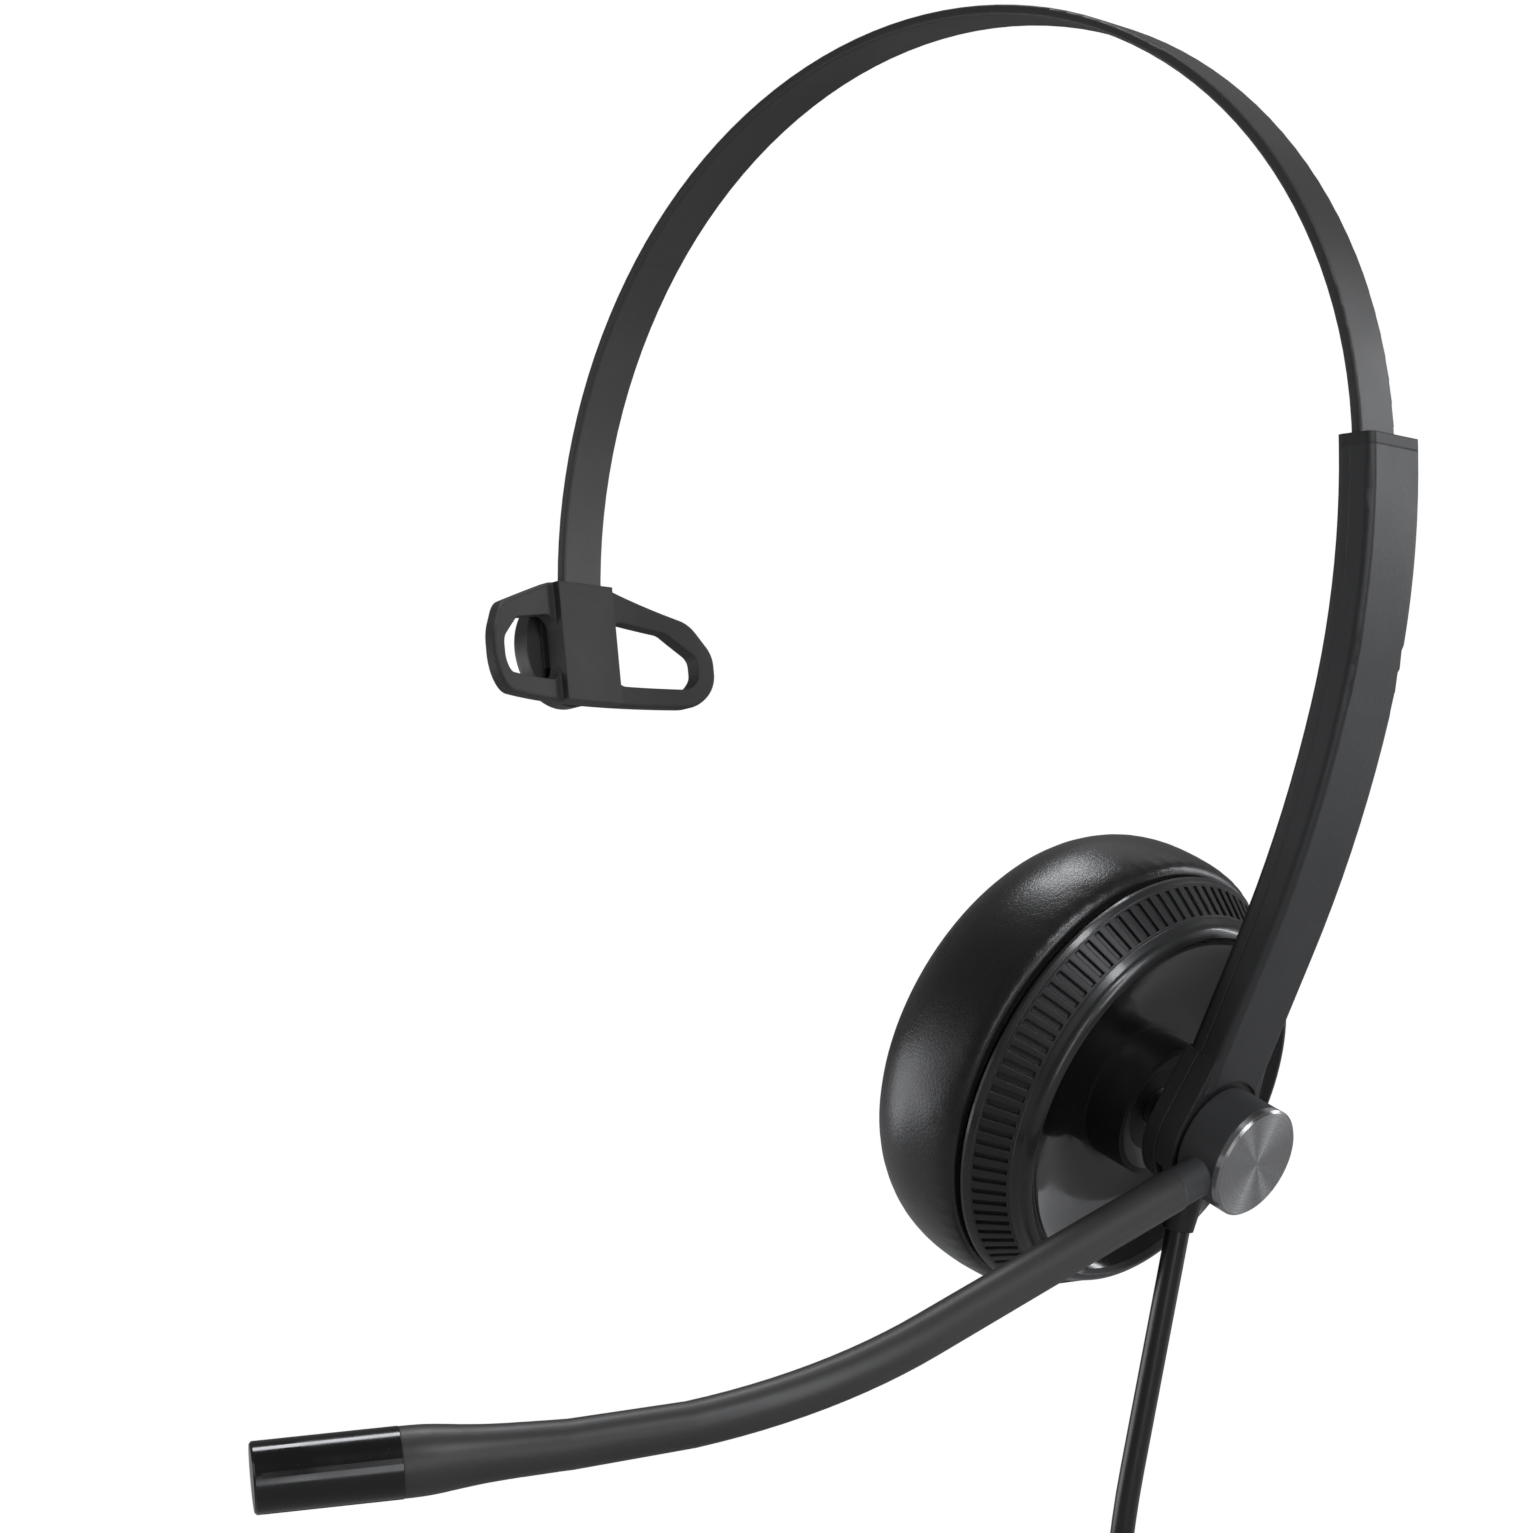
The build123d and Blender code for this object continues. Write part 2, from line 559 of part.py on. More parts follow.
# glossy dish with the ball's socket in its middle and three screw posts behind
socket_radius = ball_radius + liner_wall + ball_gap
post_ring, post_size, post_height = 20.6, 2.0, 3.6
socket_mouth = 3.4
mouth_offset = ball_offset + sqrt(socket_radius ** 2 - socket_mouth ** 2)
retainer_face = 1.2
with BuildPart() as dish_cover:
    with BuildSketch(profile_plane):
        with BuildLine():
            bowl = Spline((22.25, 6.3), (18.0, 3.9), (11.5, dish_floor),
                          tangents=[(-0.6, -0.8), (-1, 0)])
            ThreePointArc((socket_radius, ball_offset),
                          (socket_radius * cos(radians(20)), ball_offset + socket_radius * sin(radians(20))),
                          (socket_mouth, mouth_offset))
            Polyline((11.5, dish_floor), (boss_radius, dish_floor), (boss_radius, boss_top),
                     (boss_radius - 0.8, boss_top), (socket_mouth + 2.2, mouth_offset + 0.2),
                     (socket_mouth, mouth_offset))
            Polyline((socket_radius, ball_offset), (socket_radius, retainer_face),
                     (11.5, retainer_face), (17.2, dish_floor - 0.4), (21.2, 4.6), (22.25, 6.3))
        make_face()
    revolve(axis=hub_axis)
    with BuildSketch(hub_plane):
        with PolarLocations(post_ring, 3, start_angle=30):
            Circle(post_size)
    extrude(amount=post_height)
    with BuildSketch(hub_plane):
        with PolarLocations(post_ring, 3, start_angle=30):
            Circle(0.7)
    extrude(amount=3.2, mode=Mode.SUBTRACT)
    with BuildSketch(hub_plane.offset(retainer_face)):
        with PolarLocations(6.4, 3):
            Circle(0.7)
    extrude(amount=3.2, mode=Mode.SUBTRACT)
    add(cup_shell.part, mode=Mode.SUBTRACT)
dish_cover.part.label = "dish_cover"

with BuildPart() as ball_liner:
    liner_top, liner_bottom = 2.4, -2.8
    inner, outer = ball_radius + ball_gap, ball_radius + liner_wall
    with BuildSketch(profile_plane):
        with Locations((0, ball_offset)):
            Circle(outer)
            Circle(inner, mode=Mode.SUBTRACT)
            with Locations((outer / 2 + 1, (liner_top + liner_bottom) / 2)):
                Rectangle(outer + 2, liner_top - liner_bottom, mode=Mode.INTERSECT)
    revolve(axis=hub_axis)
ball_liner.part.label = "ball_liner"

retainer_back = -0.4
with BuildPart() as socket_retainer:
    with BuildSketch(hub_plane.offset(retainer_back)):
        Circle(boss_radius)
    extrude(amount=retainer_face - retainer_back)
    with BuildSketch(profile_plane):
        with Locations((0, ball_offset)):
            Circle(socket_radius)
            with Locations((-socket_radius, 0)):
                Rectangle(2 * socket_radius, 4 * socket_radius, mode=Mode.SUBTRACT)
    revolve(axis=hub_axis, mode=Mode.SUBTRACT)
socket_retainer.part.label = "socket_retainer"

with BuildPart() as retainer_screws:
    with BuildSketch(hub_plane.offset(retainer_back)):
        with PolarLocations(6.4, 3):
            Circle(1.3)
    extrude(amount=0.8)
    with BuildSketch(hub_plane.offset(retainer_back)):
        with PolarLocations(6.4, 3):
            Circle(0.7)
    extrude(amount=4.4)
retainer_screws.part.label = "retainer_screws"
socket_retainer.part = socket_retainer.part - retainer_screws.part
socket_retainer.part.label = "socket_retainer"

# front plate with the driver's drum, facing the ear
plate_thick, drum_radius, drum_wall, drum_front = 1.6, 16.4, 1.3, -7.0
with BuildPart() as baffle:
    with BuildSketch(profile_plane):
        with BuildLine():
            Polyline((drum_radius - drum_wall, 0), (shell_inside - 0.1, 0),
                     (shell_inside - 0.1, -plate_thick), (drum_radius, -plate_thick),
                     (drum_radius, drum_front), (0, drum_front), (0, drum_front + 1.2),
                     (drum_radius - drum_wall, drum_front + 1.2), close=True)
        make_face()
    revolve(axis=hub_axis)
    with BuildSketch(hub_plane.offset(drum_front)):
        Circle(1.0)
        for count, radius in ((6, 4.0), (12, 8.0), (18, 12.0)):
            with PolarLocations(radius, count):
                Circle(1.0)
    extrude(amount=1.2, mode=Mode.SUBTRACT)
    with BuildSketch(hub_plane):
        with PolarLocations(post_ring, 3, start_angle=30):
            Circle(0.7)
    extrude(amount=-plate_thick, mode=Mode.SUBTRACT)
    with BuildSketch(hub_plane.offset(-plate_thick)):
        with PolarLocations(post_ring, 3, start_angle=30):
            Circle(1.5)
    extrude(amount=0.8, mode=Mode.SUBTRACT)
baffle.part.label = "baffle"

with BuildPart() as baffle_screws:
    with BuildSketch(hub_plane.offset(-plate_thick)):
        with PolarLocations(post_ring, 3, start_angle=30):
            Circle(1.5)
    extrude(amount=0.8)
    with BuildSketch(hub_plane.offset(-plate_thick)):
        with PolarLocations(post_ring, 3, start_angle=30):
            Circle(0.7)
    extrude(amount=4.6)
baffle_screws.part.label = "baffle_screws"

driver_seat = drum_front + 1.2
with BuildPart() as driver_frame:
    with BuildSketch(profile_plane):
        with BuildLine():
            Polyline((14.9, driver_seat), (14.9, -4.4), (10.5, -3.2), (4.0, -3.2), (4.0, -3.9),
                     (10.2, -3.9), (13.4, -4.9), (13.4, driver_seat), close=True)
        make_face()
    revolve(axis=hub_axis)
driver_frame.part.label = "driver_frame"

with BuildPart() as driver_magnet:
    with BuildSketch(hub_plane.offset(-3.2)):
        Circle(8.0)
    extrude(amount=2.4)
driver_magnet.part.label = "driver_magnet"

with BuildPart() as driver_cone:
    with BuildSketch(profile_plane):
        with BuildLine():
            Polyline((13.4, -5.6), (13.4, -5.3), (9.5, -4.7), (6.0, -4.9), (0, -4.4), (0, -4.7),
                     (6.0, -5.2), (9.5, -5.0), close=True)
        make_face()
    revolve(axis=hub_axis)
driver_cone.part.label = "driver_cone"

with BuildPart() as driver_cloth:
    with BuildSketch(hub_plane.offset(drum_front - 0.3)):
        Circle(drum_radius - 0.4)
    extrude(amount=0.3)
driver_cloth.part.label = "driver_cloth"

# clip ring that the cushion is sewn to
clip_front = -2.8
with BuildPart() as cushion_clip:
    with BuildSketch(hub_plane.offset(-plate_thick)):
        Circle(25.8)
        Circle(drum_radius + 0.3, mode=Mode.SUBTRACT)
    extrude(amount=clip_front + plate_thick)
cushion_clip.part.label = "cushion_clip"

with BuildPart() as ear_cushion:
    with BuildSketch(profile_plane):
        with BuildLine():
            back, side = -cushion_depth, -cushion_depth + cushion_round
            bulge = cushion_round * (1 - cos(radians(45)))
            Polyline((drum_radius + 0.4, clip_front), (26.0, clip_front), (26.0, -ring_gap),
                     (27.6, -ring_gap))
            ThreePointArc((27.6, -ring_gap), (28.6, -1.0), (cushion_radius, -2.4))
            Line((cushion_radius, -2.4), (cushion_radius, side))
            ThreePointArc((cushion_radius, side), (cushion_radius - bulge, back + bulge),
                          (cushion_radius - cushion_round, back))
            Line((cushion_radius - cushion_round, back), (cushion_hole + 4.5, back))
            ThreePointArc((cushion_hole + 4.5, back), (cushion_hole + 1.3, back + 1.3),
                          (cushion_hole, back + 4.5))
            Polyline((cushion_hole, back + 4.5), (cushion_hole, drum_front - 0.6),
                     (drum_radius + 0.4, drum_front - 0.6), (drum_radius + 0.4, clip_front))
        make_face()
    revolve(axis=hub_axis)
ear_cushion.part.label = "ear_cushion"

# ================= lead =================
with BuildPart() as strain_relief:
    with BuildSketch(Plane.XY.offset(relief_top)):
        with Locations((cord_x, cord_y)):
            Circle(relief_plug_radius)
    extrude(amount=relief_plug_length)
    with BuildSketch(Plane.XY.offset(relief_top)):
        with Locations((cord_x, cord_y)):
            Circle(2.6)
    with BuildSketch(Plane.XY.offset(relief_bottom)):
        with Locations((cord_x, cord_y)):
            Circle(1.9)
    loft()
strain_relief.part.label = "strain_relief"

# route of the lead from the relief to the coil, in the plane across the head
first_bend_z = -184.0
lean_runs = [(20.0, 15.0), (18.0, 45.0)]          # length, and angle from straight down
route = [Vector(cord_x, cord_y, relief_bottom), Vector(cord_x, cord_y, first_bend_z)]
for run, lean in lean_runs:
    route.append(route[-1] + Vector(0, sin(radians(lean)), -cos(radians(lean))) * run)
outer_turn = coil_mean_radius + coil_pitch * (coil_layers - 1) / 2
join_angle = radians(lean_runs[-1][1])
coil_centre = route[-1] - Vector(0, sin(join_angle), cos(join_angle)) * outer_turn
radii = []
for before, point, after in zip(route, route[1:], route[2:]):
    runs = [(point - before).length, (after - point).length]
    radii.append(0.45 * min(runs) / tan(radians((point - before).get_angle(after - point) / 2)))
print("cord radii", [round(r, 1) for r in radii])
cord_stop = route[-1] + (route[-2] - route[-1]).normalized() * 3.0

with BuildPart() as cord:
    with BuildLine() as cord_line:
        FilletPolyline(*route[:-1], cord_stop, radius=radii)
    with BuildSketch(Plane(origin=route[0], z_dir=(0, 0, -1))):
        Circle(cord_radius)
    sweep()
cord.part.label = "cord"
cord_run = sum(edge.length for edge in cord_line.edges())
print("cord volume ratio", cord.part.volume / (pi * cord_radius ** 2 * cord_run))

bundle_depth, bundle_width = coil_layers * coil_pitch, coil_rows * coil_pitch
coil_axis = Axis(coil_centre, (1, 0, 0))
coil_section = Plane(origin=coil_centre, x_dir=(0, 1, 0), z_dir=(0, 0, -1))
with BuildPart() as cord_coil:
    with BuildSketch(coil_section):
        with Locations((coil_mean_radius, 0)):
            RectangleRounded(bundle_depth, bundle_width, 2.6)
    revolve(axis=coil_axis)
cord_coil.part.label = "cord_coil"

tie_thick, tie_start, tie_span = 1.1, 54.0, 15.0  # degrees round the coil from its top
tie_section = Plane(origin=coil_centre,
                    x_dir=(0, sin(radians(tie_start)), cos(radians(tie_start))),
                    z_dir=(0, cos(radians(tie_start)), -sin(radians(tie_start))))
with BuildPart() as cord_tie:
    with BuildSketch(tie_section):
        with Locations((coil_mean_radius, 0)):
            RectangleRounded(bundle_depth + 2 * tie_thick, bundle_width + 2 * tie_thick, 3.4)
            RectangleRounded(bundle_depth, bundle_width, 2.6, mode=Mode.SUBTRACT)
    revolve(axis=Axis(coil_centre, (-1, 0, 0)), revolution_arc=tie_span)
cord_tie.part.label = "cord_tie"

tail_start = coil_centre + Vector(0, outer_turn, -4.0)
plug_top = coil_centre.Z - 19.0
with BuildPart() as cord_tail:
    with BuildSketch(Plane(origin=tail_start, z_dir=(0, 0, -1))):
        Circle(cord_radius)
    extrude(amount=tail_start.Z - plug_top)
cord_tail.part.label = "cord_tail"

plug_x, plug_y = tail_start.X, tail_start.Y
usb_relief, usb_body, usb_width, usb_height = 8.0, 21.0, 15.6, 7.8
metal_width, metal_height, metal_length, metal_wall = 12.0, 4.5, 12.0, 0.35
body_top = plug_top - usb_relief
metal_top = body_top - usb_body
with BuildPart() as usb_grip:
    with BuildSketch(Plane(origin=(plug_x, plug_y, body_top), z_dir=(0, 0, -1))):
        RectangleRounded(usb_width, usb_height, 2.2)
    extrude(amount=usb_body)
    with BuildSketch(Plane(origin=(plug_x, plug_y, plug_top), z_dir=(0, 0, -1))):
        Circle(2.0)
    with BuildSketch(Plane(origin=(plug_x, plug_y, body_top), z_dir=(0, 0, -1))):
        Circle(3.0)
    loft()
usb_grip.part.label = "usb_grip"

usb_mouth = Plane(origin=(plug_x, plug_y, metal_top), z_dir=(0, 0, -1))
with BuildPart() as usb_shell:
    with BuildSketch(usb_mouth):
        RectangleRounded(metal_width, metal_height, 0.5)
        Rectangle(metal_width - 2 * metal_wall, metal_height - 2 * metal_wall, mode=Mode.SUBTRACT)
    extrude(amount=metal_length)
    with BuildSketch(usb_mouth.offset(5.2)):
        with GridLocations(5.2, 0, 2, 1):
            Rectangle(2.2, 10)
    extrude(amount=2.2, mode=Mode.SUBTRACT)
usb_shell.part.label = "usb_shell"

tongue_height = 1.9
with BuildPart() as usb_tongue:
    with BuildSketch(usb_mouth):
        Rectangle(metal_width - 2 * metal_wall, metal_height - 2 * metal_wall)
    extrude(amount=1.5)
    with BuildSketch(usb_mouth):
        with Locations((0, -(metal_height / 2 - metal_wall - tongue_height / 2))):
            Rectangle(metal_width - 2 * metal_wall, tongue_height)
    extrude(amount=metal_length - 0.6)
usb_tongue.part.label = "usb_tongue"

with BuildPart() as usb_contacts:
    with BuildSketch(usb_mouth.offset(1.5)):
        with Locations((0, -(metal_height / 2 - metal_wall - tongue_height) + 0.1)):
            with GridLocations(2.2, 0, 4, 1):
                Rectangle(1.0, 0.2)
    extrude(amount=metal_length - 3.2)
usb_contacts.part.label = "usb_contacts"

# ================= output =================
PIECES = {
    "headband_spring": headband_spring, "headband_cover": headband_cover, "band_stop": band_stop,
    "stop_rivet": stop_rivet, "temple_pad": temple_pad, "pad_block": pad_block, "pad_cap": pad_cap,
    "arm_inner_shell": arm_inner_shell, "arm_outer_shell": arm_outer_shell, "arm_collar": arm_collar,
    "arm_screws": arm_screws, "ball_stud": ball_stud, "friction_washer": friction_washer,
    "pivot_screw": pivot_screw, "boom_hub": boom_hub, "pivot_cap": pivot_cap, "boom_stem": boom_stem,
    "mic_barrel": mic_barrel, "mic_capsule": mic_capsule, "mic_boot": mic_boot,
    "ball_liner": ball_liner, "cup_shell": cup_shell, "grip_ring": grip_ring,
    "dish_cover": dish_cover, "socket_retainer": socket_retainer, "retainer_screws": retainer_screws,
    "baffle": baffle, "baffle_screws": baffle_screws, "driver_frame": driver_frame,
    "driver_magnet": driver_magnet, "driver_cone": driver_cone, "driver_cloth": driver_cloth,
    "cushion_clip": cushion_clip, "ear_cushion": ear_cushion, "strain_relief": strain_relief,
    "cord": cord, "cord_coil": cord_coil, "cord_tie": cord_tie, "cord_tail": cord_tail,
    "usb_grip": usb_grip, "usb_shell": usb_shell, "usb_tongue": usb_tongue,
    "usb_contacts": usb_contacts,
}
for name, piece in PIECES.items():
    export_step(piece.part, f"parts/{name}.step")
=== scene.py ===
import json
import math

import bmesh
import bpy
from mathutils import Matrix, Vector


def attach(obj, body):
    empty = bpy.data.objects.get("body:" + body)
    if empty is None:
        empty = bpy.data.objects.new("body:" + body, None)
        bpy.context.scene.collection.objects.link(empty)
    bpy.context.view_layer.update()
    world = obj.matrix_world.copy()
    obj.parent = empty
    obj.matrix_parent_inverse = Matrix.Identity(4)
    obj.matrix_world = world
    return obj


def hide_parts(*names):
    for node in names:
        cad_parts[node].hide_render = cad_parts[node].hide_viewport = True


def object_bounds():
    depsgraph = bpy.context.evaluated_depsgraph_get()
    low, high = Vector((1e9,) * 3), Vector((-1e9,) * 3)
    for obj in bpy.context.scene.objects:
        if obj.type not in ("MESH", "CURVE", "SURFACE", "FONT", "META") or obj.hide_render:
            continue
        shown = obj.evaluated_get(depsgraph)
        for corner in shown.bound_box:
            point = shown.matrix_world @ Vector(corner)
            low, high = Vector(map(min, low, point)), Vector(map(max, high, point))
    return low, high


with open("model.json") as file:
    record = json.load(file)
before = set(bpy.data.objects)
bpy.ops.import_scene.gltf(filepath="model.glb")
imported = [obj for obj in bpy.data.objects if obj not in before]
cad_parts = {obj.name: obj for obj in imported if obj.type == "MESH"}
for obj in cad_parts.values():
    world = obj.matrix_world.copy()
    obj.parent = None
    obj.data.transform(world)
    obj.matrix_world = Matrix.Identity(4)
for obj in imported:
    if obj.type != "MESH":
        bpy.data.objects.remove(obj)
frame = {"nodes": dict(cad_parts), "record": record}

# Office headset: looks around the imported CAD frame. Metres, same frame as the CAD.
nodes = frame["nodes"]
scene = bpy.context.scene
cad_low, cad_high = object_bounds()
MM = 0.001


# ---------------------------------------------------------------- camera
def make_camera(eye, azimuth, elevation, roll, lens):
    """Camera at eye. Azimuth 0 looks along +Y, elevation lifts it above what it looks at, and roll
    turns it about its own axis, all in degrees."""
    a, e, t = (math.radians(v) for v in (azimuth, elevation, roll))
    back = Vector((math.sin(a) * math.cos(e), -math.cos(a) * math.cos(e), math.sin(e)))
    level = Vector((math.cos(a), math.sin(a), 0))
    rise = Vector((-math.sin(a) * math.sin(e), math.cos(a) * math.sin(e), math.cos(e)))
    right = level * math.cos(t) + rise * math.sin(t)
    up = rise * math.cos(t) - level * math.sin(t)
    data = bpy.data.cameras.new("camera")
    data.lens, data.sensor_width = lens, 36.0
    data.clip_start, data.clip_end = 0.02, 40.0
    cam = bpy.data.objects.new("camera", data)
    scene.collection.objects.link(cam)
    turn = Matrix((right, up, back)).transposed().to_4x4()
    cam.matrix_world = Matrix.Translation(eye) @ turn
    return cam


scene.camera = make_camera(eye=(0.340496, -0.426181, -0.055368), azimuth=40.552, elevation=4.616,
                           roll=10.204, lens=100.0)

# ---------------------------------------------------------------- hub frame
# the ear cup and the boom's pivot share this axis
HUB = Vector((40.8, 0.0, -127.9)) * MM
TILT = math.radians(12.0)
OUT = Vector((math.cos(TILT), 0.0, -math.sin(TILT)))
FRONT = Vector((0.0, -1.0, 0.0))
DOWN = Vector((-math.sin(TILT), 0.0, -math.cos(TILT)))


def at_hub(offset, forward=0.0, down=0.0):
    """Point given in millimetres along the hub axis from the cup's rim, and across it."""
    return HUB + (OUT * offset + FRONT * forward + DOWN * down) * MM


# ---------------------------------------------------------------- node helpers
def shader(name):
    """A new material, its node tree and its Principled shader, joined to the output."""
    mat = bpy.data.materials.new(name)
    mat.use_nodes = True
    tree = mat.node_tree
    tree.nodes.clear()
    out = tree.nodes.new("ShaderNodeOutputMaterial")
    bsdf = tree.nodes.new("ShaderNodeBsdfPrincipled")
    tree.links.new(bsdf.outputs[0], out.inputs[0])
    return mat, tree, bsdf


def add_node(tree, kind, **values):
    """A node with its settings and inputs given by name: a socket is linked, all else is a value."""
    node = tree.nodes.new("ShaderNode" + kind)
    for key, value in values.items():
        if hasattr(node, key):
            setattr(node, key, value)
            continue
        sockets = [s for s in node.inputs if s.name.replace(" ", "_") == key and s.enabled]
        if isinstance(value, bpy.types.NodeSocket):
            tree.links.new(value, sockets[0])
        else:
            sockets[0].default_value = value
    return node


def ranged(tree, socket, low, high, to_low, to_high):
    """A socket's span from low to high, mapped to to_low..to_high and clamped."""
    return add_node(tree, "MapRange", Value=socket, From_Min=low, From_Max=high,
                    To_Min=to_low, To_Max=to_high).outputs[0]


MIX_FACTOR, MIX_FIRST, MIX_SECOND, MIX_RESULT = 0, 6, 7, 2      # a Mix node's colour sockets


def mixed(tree, factor, first, second):
    """Colour mix of two sockets or colours."""
    node = tree.nodes.new("ShaderNodeMix")
    node.data_type = "RGBA"
    for index, value in ((MIX_FACTOR, factor), (MIX_FIRST, first), (MIX_SECOND, second)):
        if isinstance(value, bpy.types.NodeSocket):
            tree.links.new(value, node.inputs[index])
        else:
            node.inputs[index].default_value = value
    return node.outputs[MIX_RESULT]


NEUTRAL = (1.0, 1.0, 1.0)
COOL = (0.98, 1.0, 1.03)
WARM = (1.02, 1.01, 0.98)


def grey(value, tint=NEUTRAL):
    """A grey as a colour with alpha, tinted."""
    return (value * tint[0], value * tint[1], value * tint[2], 1.0)


def place(tree):
    """Position on the object, which is also the position in the shared frame."""
    return add_node(tree, "TexCoord").outputs["Object"]


def round_the_hub(tree):
    """Direction round the hub axis, and distance from it."""
    arm = add_node(tree, "VectorMath", operation="SUBTRACT")
    tree.links.new(place(tree), arm.inputs[0])
    arm.inputs[1].default_value = HUB
    around = add_node(tree, "VectorMath", operation="CROSS_PRODUCT")
    tree.links.new(arm.outputs[0], around.inputs[0])
    around.inputs[1].default_value = OUT
    radius = add_node(tree, "VectorMath", operation="LENGTH")
    tree.links.new(around.outputs[0], radius.inputs[0])
    return around.outputs[0], radius.outputs["Value"]


def edge_mask(tree, radius, low, high):
    """1 where the surface turns sharply within radius, 0 on its flats."""
    bevel = add_node(tree, "Bevel", samples=4, Radius=radius)
    flat = add_node(tree, "NewGeometry")
    dot = add_node(tree, "VectorMath", operation="DOT_PRODUCT")
    tree.links.new(bevel.outputs[0], dot.inputs[0])
    tree.links.new(flat.outputs["Normal"], dot.inputs[1])
    return ranged(tree, dot.outputs["Value"], high, low, 0.0, 1.0)


def moulded(name, level, rough, tint=COOL, grain=0.35, depth=0.006, smudge=0.05, wear=0.35,
            edge=0.35, coat=0.0, speckle=0.12):
    """Moulded plastic or rubber: fine spark-eroded grain, handling smudges, edges rubbed lighter.

    level is the grey of its colour and speckle how much that varies, rough the middle of its
    roughness and smudge how much that varies, and wear how far the edges are rubbed. grain, depth
    and edge are in millimetres.
    """
    mat, tree, bsdf = shader(name)
    where = place(tree)
    fine = add_node(tree, "TexNoise", Vector=where, Scale=1000.0 / grain, Detail=3.0, Roughness=0.6)
    cells = add_node(tree, "TexVoronoi", Vector=where, Scale=1000.0 / (grain * 1.7))
    broad = add_node(tree, "TexNoise", Vector=where, Scale=55.0, Detail=4.0, Roughness=0.55)
    tone = mixed(tree, ranged(tree, broad.outputs[0], 0.3, 0.7, 0.0, 1.0),
                 grey(level * (1 - speckle), tint), grey(level * (1 + speckle), tint))
    worn = edge_mask(tree, edge * MM, 0.82, 0.995)
    worn_level = min(1.0, level * 3.2 + 0.02)
    patchy = add_node(tree, "Math", operation="MULTIPLY")
    tree.links.new(worn, patchy.inputs[0])
    tree.links.new(ranged(tree, fine.outputs[0], 0.3, 0.75, 0.15, wear), patchy.inputs[1])
    colour = mixed(tree, patchy.outputs[0], tone, grey(worn_level, tint))
    tree.links.new(colour, bsdf.inputs["Base Color"])
    tree.links.new(ranged(tree, broad.outputs[0], 0.25, 0.75, rough + smudge, rough - smudge),
                   bsdf.inputs["Roughness"])
    height = add_node(tree, "Math", operation="ADD")
    tree.links.new(fine.outputs[0], height.inputs[0])
    tree.links.new(cells.outputs[0], height.inputs[1])
    soft_edge = add_node(tree, "Bevel", samples=4, Radius=edge * MM)
    bump = add_node(tree, "Bump", Height=height.outputs[0], Distance=depth * MM, Strength=1.0,
                    Normal=soft_edge.outputs[0])
    tree.links.new(bump.outputs[0], bsdf.inputs["Normal"])
    bsdf.inputs["Coat Weight"].default_value = coat
    bsdf.inputs["Coat Roughness"].default_value = 0.12
    return mat


def polished(name, level, rough=0.09, tint=COOL, coat=0.6):
    """Polished plastic: a deep clean gloss with faint wipe marks and specks of dust."""
    mat, tree, bsdf = shader(name)
    where = place(tree)
    wipe = add_node(tree, "Mapping", Vector=where, Rotation=(0.3, 0.5, 0.2), Scale=(40.0, 260.0, 90.0))
    marks = add_node(tree, "TexNoise", Vector=wipe.outputs[0], Scale=1.0, Detail=5.0, Roughness=0.6)
    dust = add_node(tree, "TexVoronoi", Vector=where, Scale=900.0)
    speck = ranged(tree, dust.outputs[0], 0.05, 0.11, 1.0, 0.0)
    speck_level = level * 2.2 + 0.01
    tree.links.new(mixed(tree, speck, grey(level, tint), grey(speck_level, tint)),
                   bsdf.inputs["Base Color"])
    tree.links.new(ranged(tree, marks.outputs[0], 0.3, 0.75, rough * 0.7, rough * 1.9),
                   bsdf.inputs["Roughness"])
    bump = add_node(tree, "Bump", Height=marks.outputs[0], Distance=0.0008 * MM, Strength=1.0)
    tree.links.new(bump.outputs[0], bsdf.inputs["Normal"])
    bsdf.inputs["Coat Weight"].default_value = coat
    bsdf.inputs["Coat Roughness"].default_value = 0.04
    return mat


